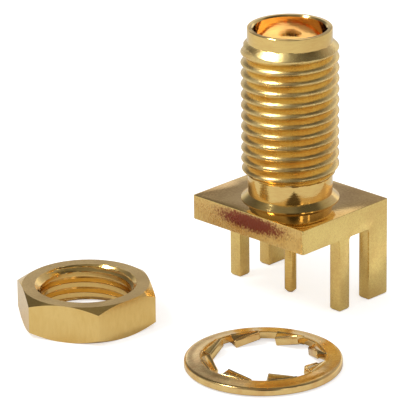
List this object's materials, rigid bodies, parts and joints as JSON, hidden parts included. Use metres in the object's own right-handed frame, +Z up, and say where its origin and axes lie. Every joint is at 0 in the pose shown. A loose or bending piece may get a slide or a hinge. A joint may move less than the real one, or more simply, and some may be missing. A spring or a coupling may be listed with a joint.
{
  "type": "edge-mount coaxial jack with lock washer and nut",
  "caption": "Gold-plated threaded coaxial jack for a board edge, with flange, board legs and solder tail; its toothed lock washer and hex nut lie beside it.",
  "frame": {"origin": "on the barrel's axis, at the flange face that meets the circuit board's edge", "axes": "+Z up the barrel towards its mouth; X along the board's edge; +Y through the board's thickness, from the tail's side to the back legs"},
  "size_m": [0.0223, 0.0207, 0.0178],
  "materials": {
    "shell": "gold plated over machined brass",
    "insulator": "turned white fluoropolymer",
    "contact": "gold plated, turned",
    "washer": "gold plated, stamped and tumbled",
    "nut": "gold plated over machined brass"
  },
  "bodies": {
    "root": {"shell": "shell", "insulator": "insulator", "centre_contact": "contact", "lock_washer": "washer", "hex_nut": "nut"}
  },
  "joints": []
}
